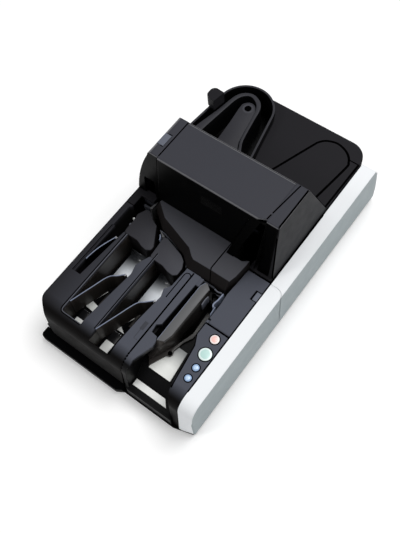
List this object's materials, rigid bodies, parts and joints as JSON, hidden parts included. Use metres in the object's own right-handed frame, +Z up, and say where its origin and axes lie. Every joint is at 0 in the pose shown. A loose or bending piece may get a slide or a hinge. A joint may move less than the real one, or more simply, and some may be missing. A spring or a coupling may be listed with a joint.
{
  "type": "cheque scanner",
  "caption": "Desktop reader with a raised hinged hood, a feed hopper, a U-shaped paper path, sorting pockets and a pale side cover.",
  "frame": {"origin": "centre of the footprint, on the surface the feet stand on", "axes": "+X to the pale side cover on the right, +Y to the back, +Z up; the pockets and the hopper open at the front, -Y"},
  "size_m": [0.2614, 0.474, 0.187],
  "materials": {
    "deck": "fine textured dark grey",
    "deck_rear": "fine textured dark grey, warmer",
    "black": "black satin",
    "hood": "fine textured dark grey",
    "white": "white satin",
    "grey": "pale grey satin",
    "button_grey": "blue grey satin",
    "pusher": "mid grey satin",
    "plate": "bright",
    "steel": "ground",
    "sheet": "pale slippery sheet",
    "rubber": "matt",
    "cap_red": "translucent pale red",
    "cap_green": "translucent pale green",
    "cap_blue": "translucent pale blue",
    "board": "green solder mask",
    "motor": "drawn can",
    "zinc": "zinc plated",
    "sensor": "black with a glass window"
  },
  "bodies": {
    "base": {"base_pan": "black", "button_board": "board", "control_panel": "deck", "data_socket": "zinc", "drive_motor": "motor", "feed_belt": "rubber", "feeder_frame": "zinc", "guide_island_left": "deck", "guide_island_middle": "deck", "hood_left_cap": "hood", "hood_rear_wall": "hood", "hood_right_frame": "hood", "hopper_floor_plates": "sheet", "hopper_housing": "deck", "image_sensor_back": "sensor", "image_sensor_front": "sensor", "inner_guide": "deck", "leaf_springs": "plate", "main_circuit_board": "board", "mains_inlet_and_switch_frame": "black", "path_block": "deck", "path_floor": "black", "pocket_floor": "black", "pocket_floor_plates": "plate", "pocket_housing": "deck", "power_supply": "zinc", "rear_housing": "deck_rear", "rear_path_cover": "deck_rear", "rubber_feet": "rubber", "side_cover_front": "white", "side_cover_rear": "white", "side_panel_front": "grey", "side_panel_rear": "grey", "transport_block": "deck", "turn_arm": "deck_rear", "turn_guide": "deck_rear", "turn_housing": "deck_rear"},
    "lid": {"hood_lid": "hood"},
    "latch": {"latch_button": "button_grey"},
    "feeder_lid": {"feeder_cover": "deck"},
    "release": {"release_button": "button_grey"},
    "stop_button": {"button_stop": "cap_red"},
    "start_button": {"button_start": "cap_green"},
    "up_button": {"button_up": "cap_blue"},
    "down_button": {"button_down": "cap_blue"},
    "plate_left": {"pocket_plate_left": "plate"},
    "plate_right": {"pocket_plate_right": "plate"},
    "plate_slot": {"slot_plate": "plate"},
    "pusher": {"hopper_pusher": "pusher"},
    "gate_left": {"sorting_gate_left": "pusher"},
    "gate_right": {"sorting_gate_right": "pusher"},
    "roller_feed": {"feed_roller": "rubber"},
    "roller_pickup": {"pickup_roller": "rubber"},
    "roller_retard": {"retard_roller": "rubber"},
    "pulley": {"motor_pulley": "steel"},
    "switch": {"power_switch": "black"},
    "lever": {"turn_lever": "deck_rear"}
  },
  "joints": [
    {"name": "hood_lid_hinge", "type": "hinge", "parent": "base", "child": "lid", "pos_m": [0, 0.071, 0.181], "axis": [-1, 0, 0], "range_deg": [0, 70]},
    {"name": "latch_press", "type": "slide", "parent": "base", "child": "latch", "axis": [0, 0, -1], "range_m": [0, 0.0015], "stiffness_N_per_m": 60},
    {"name": "feeder_cover_hinge", "type": "hinge", "parent": "base", "child": "feeder_lid", "pos_m": [0.09, -0.1067, 0.0846], "axis": [1, 0, 0], "range_deg": [0, 80]},
    {"name": "release_press", "type": "slide", "parent": "feeder_lid", "child": "release", "axis": [0, 0, -1], "range_m": [0, 0.0015], "stiffness_N_per_m": 60},
    {"name": "stop_press", "type": "slide", "parent": "base", "child": "stop_button", "axis": [0, 0, -1], "range_m": [0, 0.001], "stiffness_N_per_m": 60},
    {"name": "start_press", "type": "slide", "parent": "base", "child": "start_button", "axis": [0, 0, -1], "range_m": [0, 0.001], "stiffness_N_per_m": 60},
    {"name": "up_press", "type": "slide", "parent": "base", "child": "up_button", "axis": [0, 0, -1], "range_m": [0, 0.001], "stiffness_N_per_m": 60},
    {"name": "down_press", "type": "slide", "parent": "base", "child": "down_button", "axis": [0, 0, -1], "range_m": [0, 0.001], "stiffness_N_per_m": 60},
    {"name": "plate_left_swing", "type": "hinge", "parent": "base", "child": "plate_left", "pos_m": [-0.0586, -0.116, 0.06], "axis": [0, 0, 1], "range_deg": [0, 6], "stiffness_Nm_per_rad": 0.01},
    {"name": "plate_right_swing", "type": "hinge", "parent": "base", "child": "plate_right", "pos_m": [-0.0028, -0.124, 0.06], "axis": [0, 0, 1], "range_deg": [0, 6], "stiffness_Nm_per_rad": 0.01},
    {"name": "plate_slot_swing", "type": "hinge", "parent": "base", "child": "plate_slot", "pos_m": [-0.1058, -0.08, 0.06], "axis": [0, 0, 1], "range_deg": [0, 3], "stiffness_Nm_per_rad": 0.01},
    {"name": "pusher_slide", "type": "slide", "parent": "base", "child": "pusher", "axis": [1, 0, 0], "range_m": [0, 0.008]},
    {"name": "gate_left_turn", "type": "hinge", "parent": "base", "child": "gate_left", "pos_m": [-0.0965, -0.013, 0.06], "axis": [0, 0, 1], "range_deg": [-8, 8]},
    {"name": "gate_right_turn", "type": "hinge", "parent": "base", "child": "gate_right", "pos_m": [-0.0546, -0.0398, 0.06], "axis": [0, 0, 1], "range_deg": [-8, 8]},
    {"name": "feed_roller_spin", "type": "hinge", "parent": "base", "child": "roller_feed", "pos_m": [0.0776, -0.0685, 0.055], "axis": [0, 0, 1], "continuous": true},
    {"name": "pickup_roller_spin", "type": "hinge", "parent": "base", "child": "roller_pickup", "pos_m": [0.0782, -0.098, 0.055], "axis": [0, 0, 1], "continuous": true},
    {"name": "retard_roller_spin", "type": "hinge", "parent": "base", "child": "roller_retard", "pos_m": [0.06, -0.0685, 0.055], "axis": [0, 0, 1], "continuous": true},
    {"name": "motor_pulley_spin", "type": "hinge", "parent": "base", "child": "pulley", "pos_m": [0.09, -0.042, 0.073], "axis": [0, 0, 1], "continuous": true},
    {"name": "power_switch_rock", "type": "hinge", "parent": "base", "child": "switch", "pos_m": [0.037, 0.231, 0.041], "axis": [1, 0, 0], "range_deg": [0, 10]},
    {"name": "turn_lever_swing", "type": "hinge", "parent": "base", "child": "lever", "pos_m": [-0.1253, 0.174, 0.11], "axis": [0, 0, 1], "range_deg": [0, 30]}
  ],
  "couplings": [
    {"joint": "pickup_roller_spin", "follows": "feed_roller_spin", "ratio": 1},
    {"joint": "motor_pulley_spin", "follows": "feed_roller_spin", "ratio": 1.5}
  ]
}
